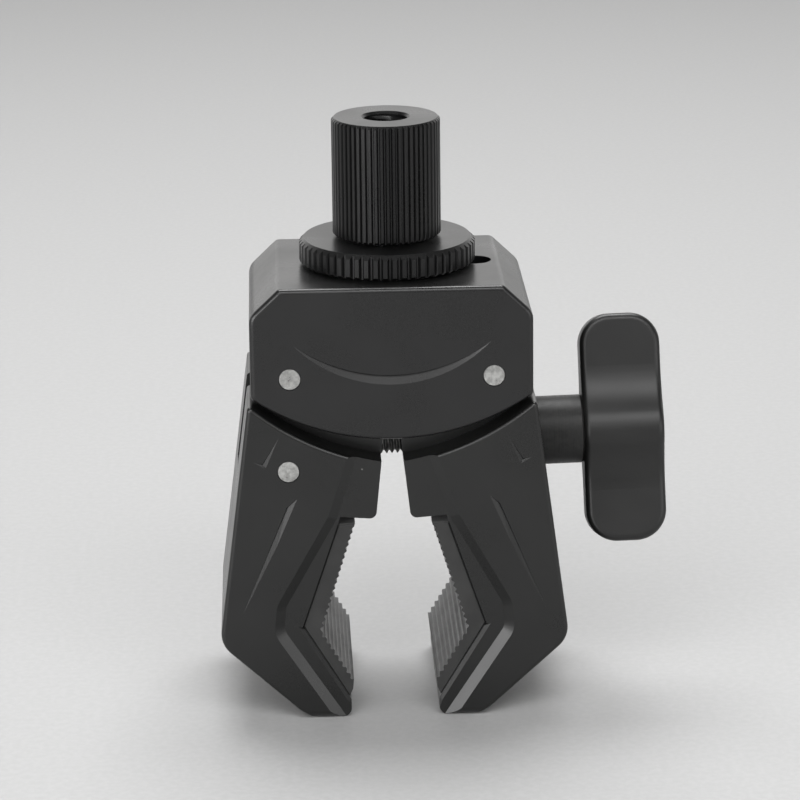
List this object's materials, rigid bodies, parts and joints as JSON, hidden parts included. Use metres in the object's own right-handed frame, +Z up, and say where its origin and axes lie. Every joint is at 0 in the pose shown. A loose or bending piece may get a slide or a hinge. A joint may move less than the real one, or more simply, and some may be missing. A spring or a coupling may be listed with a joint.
{
  "type": "super clamp",
  "caption": "Jaw clamp with two pivoting padded arms in a black channel housing, a T-bar hand screw across them, and a knurled coupling nut with a 1/4-20 socket over a lock disc.",
  "frame": {"origin": "on the axis of the mounting stud, where the full 1/4-20 thread of the top socket starts, 0.37 mm below its countersunk mouth", "axes": "+Z up out of the socket, +X across the jaws towards the knob, -Y towards the front face, jaws open downwards"},
  "size_m": [0.0659, 0.0308, 0.0867],
  "materials": {
    "housing_black": "satin black anodised aluminium casting, reads as matte satin",
    "arm_black": "satin black anodised aluminium",
    "knurl_black": "satin black anodised, machined ribs",
    "pad_rubber": "matte moulded rubber",
    "knob_plastic": "satin moulded nylon",
    "cap_plastic": "satin moulded nylon",
    "pin_steel": "bright turned steel with light scratches",
    "screw_steel": "black oxide steel",
    "collar_steel": "dark turned steel",
    "washer_steel": "zinc plated steel",
    "nylon_white": "natural nylon"
  },
  "bodies": {
    "housing": {"housing": "housing_black", "right_pivot_pin": "pin_steel", "left_pivot_pin": "pin_steel", "pivot_shims": "nylon_white", "mount_bolt": "washer_steel", "bolt_spring_washer": "washer_steel", "disc_washer": "nylon_white"},
    "left_arm": {"left_arm": "arm_black", "left_jaw_pad": "pad_rubber", "front_trunnion_pin": "pin_steel", "rear_trunnion_pin": "pin_steel"},
    "right_arm": {"right_arm": "arm_black", "right_jaw_pad": "pad_rubber"},
    "trunnion": {"trunnion_nut": "screw_steel"},
    "screw_carriage": {"saddle_washer": "washer_steel", "thrust_washer": "washer_steel"},
    "clamp_screw": {"clamp_screw": "screw_steel", "retaining_clip": "washer_steel", "knob_collar": "collar_steel", "knob": "knob_plastic", "knob_cap": "cap_plastic"},
    "lock_disc": {"lock_disc": "knurl_black"},
    "coupling_nut": {"coupling_nut": "knurl_black"}
  },
  "joints": [
    {"name": "left_arm_pivot", "type": "hinge", "parent": "housing", "child": "left_arm", "pos_m": [-0.01461, 0, -0.03445], "axis": [0, 1, 0], "range_deg": [-6.09, 16.98]},
    {"name": "right_arm_pivot", "type": "hinge", "parent": "housing", "child": "right_arm", "pos_m": [0.01461, 0, -0.03445], "axis": [0, 1, 0], "range_deg": [-17, 6.1]},
    {"name": "trunnion_swivel", "type": "hinge", "parent": "left_arm", "child": "trunnion", "pos_m": [-0.01504, 0, -0.04827], "axis": [0, 1, 0], "range_deg": [-18.2, 6.6]},
    {"name": "screw_travel", "type": "slide", "parent": "trunnion", "child": "screw_carriage", "axis": [0.9997, 0, 0.0227], "range_m": [-0.00281, 0.00781]},
    {"name": "knob_turn", "type": "hinge", "parent": "screw_carriage", "child": "clamp_screw", "pos_m": [-0.01504, 0, -0.04827], "axis": [0.9997, 0, 0.0227], "range_deg": [-1260, 3510]},
    {"name": "lock_disc_spin", "type": "hinge", "parent": "housing", "child": "lock_disc", "pos_m": [0, 0, -0.01906], "axis": [0, 0, 1], "continuous": true},
    {"name": "coupling_nut_spin", "type": "hinge", "parent": "housing", "child": "coupling_nut", "pos_m": [0, 0, -0.00836], "axis": [0, 0, 1], "continuous": true}
  ],
  "couplings": [
    {"joint": "right_arm_pivot", "follows": "left_arm_pivot", "ratio": -1},
    {"joint": "trunnion_swivel", "follows": "left_arm_pivot", "ratio": -1.064},
    {"joint": "screw_travel", "follows": "left_arm_pivot", "m_per_rad": 0.026316},
    {"joint": "knob_turn", "follows": "left_arm_pivot", "ratio": 206.68}
  ]
}
